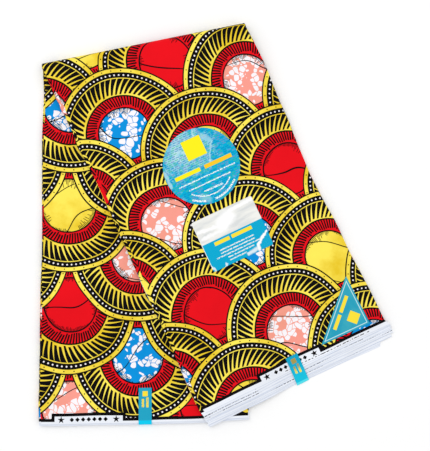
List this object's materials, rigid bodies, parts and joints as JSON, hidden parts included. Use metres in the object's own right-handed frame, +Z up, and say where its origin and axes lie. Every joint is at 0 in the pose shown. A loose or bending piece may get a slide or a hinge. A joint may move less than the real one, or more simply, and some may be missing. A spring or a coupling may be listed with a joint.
{
  "type": "folded african print fabric",
  "caption": "Length of printed wax cotton folded to a flat stack of layers and once over its middle, with labels and selvedge bands.",
  "frame": {"origin": "centre of the bounding box at the surface that the folded cloth lies on", "axes": "+Z up, +Y towards the folded end, +X towards the side that the front half turns to"},
  "size_m": [0.5577, 0.6392, 0.0176],
  "materials": {
    "printed_cotton": "calendered wax print cotton, yellow, red, black, blue and pink, with a low sheen",
    "foil_label": "teal foil paper, satin",
    "card_label": "coated card, white and teal, glossy",
    "film_band": "teal adhesive film, glossy"
  },
  "bodies": {
    "root": {"outer_front_stretch": "printed_cotton", "outer_back_stretch": "printed_cotton", "folded_layers": "printed_cotton", "inner_back_stretch": "printed_cotton", "inner_front_stretch": "printed_cotton", "round_label": "foil_label", "card_label": "card_label", "corner_label": "foil_label", "front_band": "film_band", "back_band": "film_band"}
  },
  "joints": []
}
